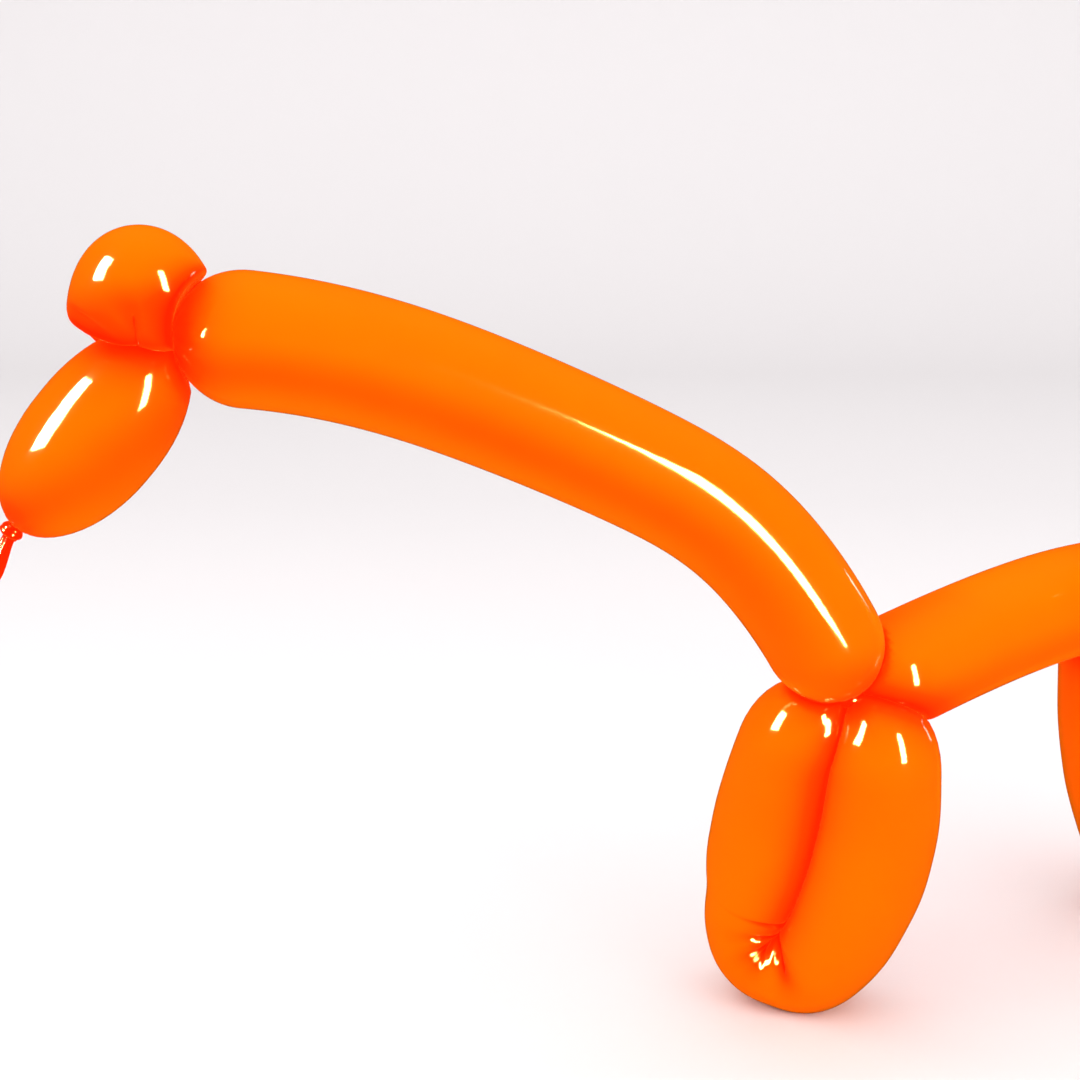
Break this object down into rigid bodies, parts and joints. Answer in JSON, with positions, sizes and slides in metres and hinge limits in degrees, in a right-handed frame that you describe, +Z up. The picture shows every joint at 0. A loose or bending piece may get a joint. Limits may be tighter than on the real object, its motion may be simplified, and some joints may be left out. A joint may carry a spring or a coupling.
{
  "type": "balloon poodle",
  "caption": "Poodle twisted from one long modelling balloon: knotted snout, round ears, long arched neck, folded leg loops and an upright tail with a pom-pom.",
  "frame": {"origin": "middle of the box's underside, on the floor between the feet and the snout", "axes": "+Z up, -X the way the animal looks, +X towards its tail, +Y its far side"},
  "size_m": [0.5532, 0.1998, 0.333],
  "materials": {
    "orange latex": "glossy stretched latex"
  },
  "bodies": {
    "root": {"balloon": "orange latex"}
  },
  "joints": []
}
